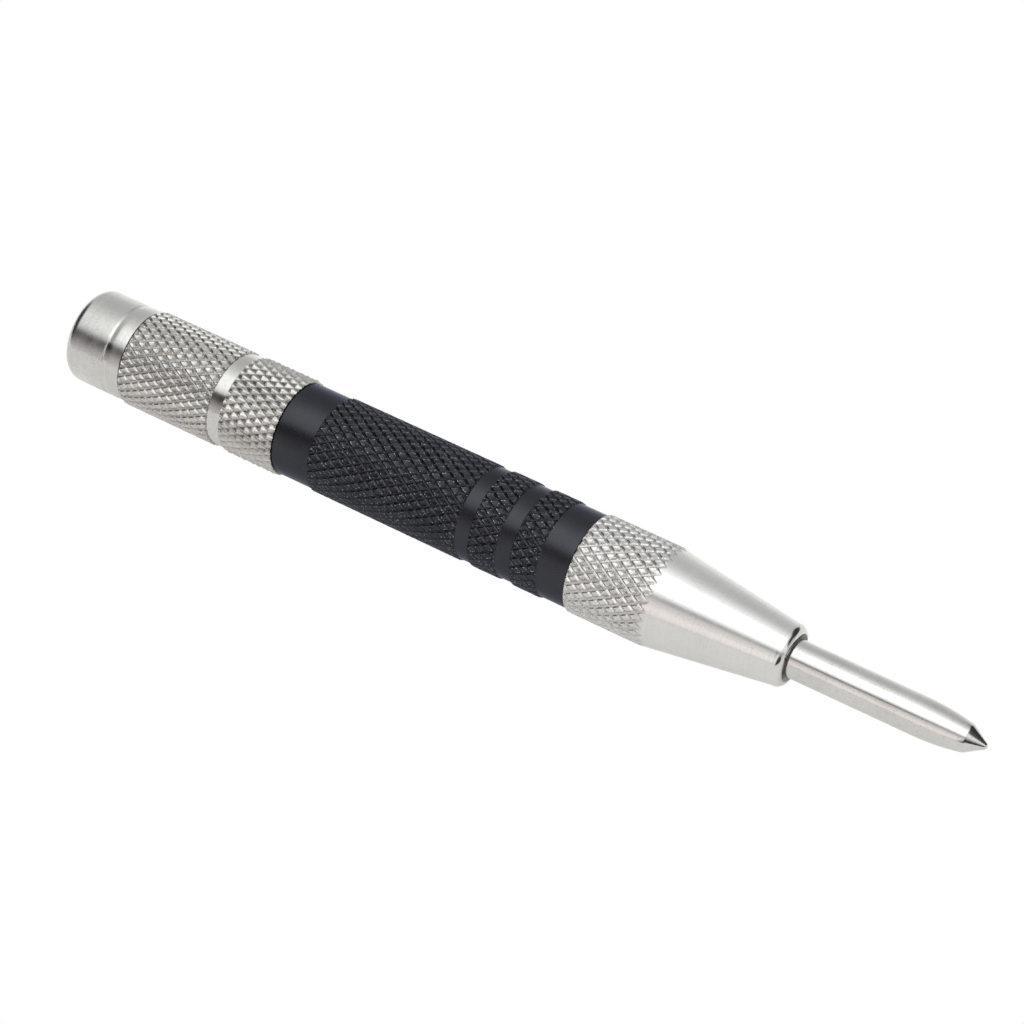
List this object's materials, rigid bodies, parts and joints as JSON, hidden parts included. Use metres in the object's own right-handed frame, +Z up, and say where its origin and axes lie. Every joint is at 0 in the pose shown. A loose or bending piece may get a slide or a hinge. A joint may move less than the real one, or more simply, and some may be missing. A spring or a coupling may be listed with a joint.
{
  "type": "automatic center punch",
  "caption": "Spring-loaded hand punch for marking hole centres: steel point in a tapered nose, dark knurled barrel and a knurled screw cap that sets the strength of the blow.",
  "frame": {"origin": "on the ground plane below the middle of the tool's length and width, the tool lying on its side with its axis level", "axes": "+X along the tool towards the punch's tip, +Z up, +Y to the tool's left seen from the rear cap"},
  "size_m": [0.13, 0.0132, 0.0132],
  "materials": {
    "nickel_plate": "satin nickel plate on turned steel",
    "black_oxide": "satin black oxide on turned steel",
    "hardened_steel": "ground, satin",
    "plain_steel": "turned, lightly oiled",
    "spring_wire": "drawn wire"
  },
  "bodies": {
    "housing": {"nose": "nickel_plate", "barrel": "black_oxide", "return_spring": "spring_wire"},
    "point": {"punch_point": "hardened_steel"},
    "trigger": {"trigger_pin": "hardened_steel", "pin_thimble": "plain_steel"},
    "hammer": {"hammer": "plain_steel"},
    "seat": {"spring_seat": "plain_steel", "main_spring": "spring_wire"},
    "cap": {"rear_cap": "nickel_plate"}
  },
  "joints": [
    {"name": "point_press", "type": "slide", "parent": "housing", "child": "point", "axis": [-1, 0, 0], "range_m": [0, 0.008], "stiffness_N_per_m": 300, "springref_m": -0.01, "deforming": ["return_spring"]},
    {"name": "trigger_centre", "type": "hinge", "parent": "point", "child": "trigger", "pos_m": [0.0289, 0, 0.00658], "axis": [0, -1, 0], "range_deg": [0, 2.17]},
    {"name": "hammer_slide", "type": "slide", "parent": "housing", "child": "hammer", "axis": [-1, 0, 0], "range_m": [0, 0.008], "stiffness_N_per_m": 3700, "springref_m": -0.01, "deforming": ["main_spring"]},
    {"name": "cap_advance", "type": "slide", "parent": "housing", "child": "seat", "axis": [-1, 0, 0], "range_m": [0, 0.005]},
    {"name": "cap_turn", "type": "hinge", "parent": "seat", "child": "cap", "pos_m": [-0.05, 0, 0.00658], "axis": [-1, 0, 0], "range_deg": [0, 1800]}
  ],
  "couplings": [
    {"joint": "trigger_centre", "follows": "point_press", "rad_per_m": 4.728},
    {"joint": "hammer_slide", "follows": "point_press", "ratio": 1},
    {"joint": "cap_turn", "follows": "cap_advance", "rad_per_m": 6283.2}
  ]
}
